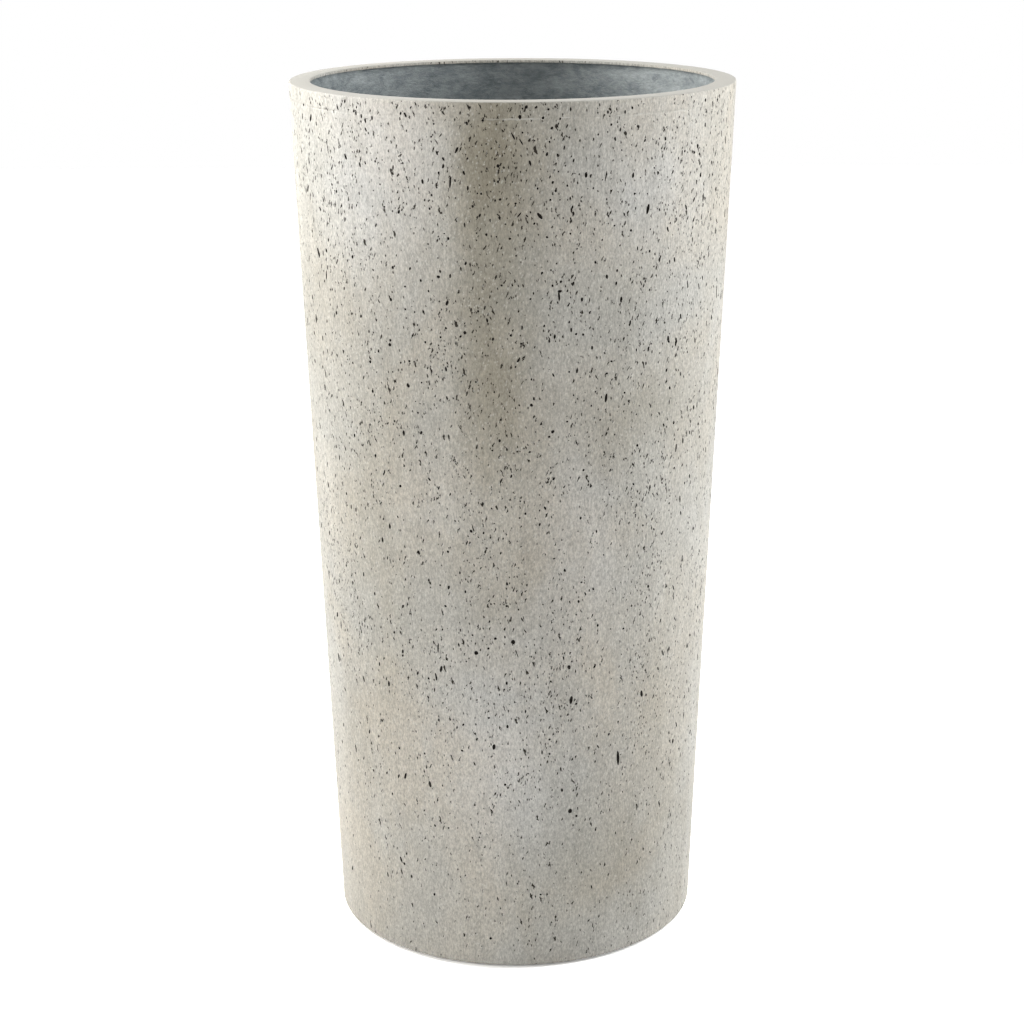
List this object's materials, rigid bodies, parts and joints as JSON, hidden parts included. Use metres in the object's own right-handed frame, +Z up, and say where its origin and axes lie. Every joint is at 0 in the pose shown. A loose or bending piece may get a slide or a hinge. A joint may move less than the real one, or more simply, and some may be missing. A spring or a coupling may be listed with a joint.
{
  "type": "floor planter",
  "caption": "Tall round tapered floor planter with a pitted stone-look skin on a fiberglass tub, a thick inturned rim, a lift-out planting shelf and a plugged drain hole.",
  "frame": {"origin": "on the planter's axis, at the level that its feet stand on", "axes": "+Z up along the planter's axis; the feet are on the X and Y axes; the picture looks along +Y"},
  "size_m": [0.4533, 0.4534, 0.9],
  "materials": {
    "stone_finish": "pitted, matt, cast-stone look",
    "grey_laminate": "rough fiberglass laminate, painted cool grey",
    "core_filler": "cast resin filler, hidden in the rim",
    "shelf_plastic": "fine-grained moulded polypropylene",
    "plug_rubber": "satin moulded rubber",
    "block_laminate": "laminated block, painted with the tub",
    "foot_rubber": "matt rubber"
  },
  "bodies": {
    "planter": {"stone_face": "stone_finish", "fiberglass_shell": "grey_laminate", "rim_core": "core_filler", "shelf_block_1": "block_laminate", "shelf_block_2": "block_laminate", "shelf_block_3": "block_laminate", "shelf_block_4": "block_laminate", "foot_pad_1": "foot_rubber", "foot_pad_2": "foot_rubber", "foot_pad_3": "foot_rubber", "foot_pad_4": "foot_rubber"},
    "planting_shelf": {"planting_shelf": "shelf_plastic"},
    "drain_plug": {"drain_plug": "plug_rubber"}
  },
  "joints": [
    {"name": "shelf_lift", "type": "slide", "parent": "planter", "child": "planting_shelf", "axis": [0, 0, 1], "range_m": [0, 0.5]},
    {"name": "drain_plug_pull", "type": "slide", "parent": "planter", "child": "drain_plug", "axis": [0, 0, 1], "range_m": [0, 0.08]}
  ]
}
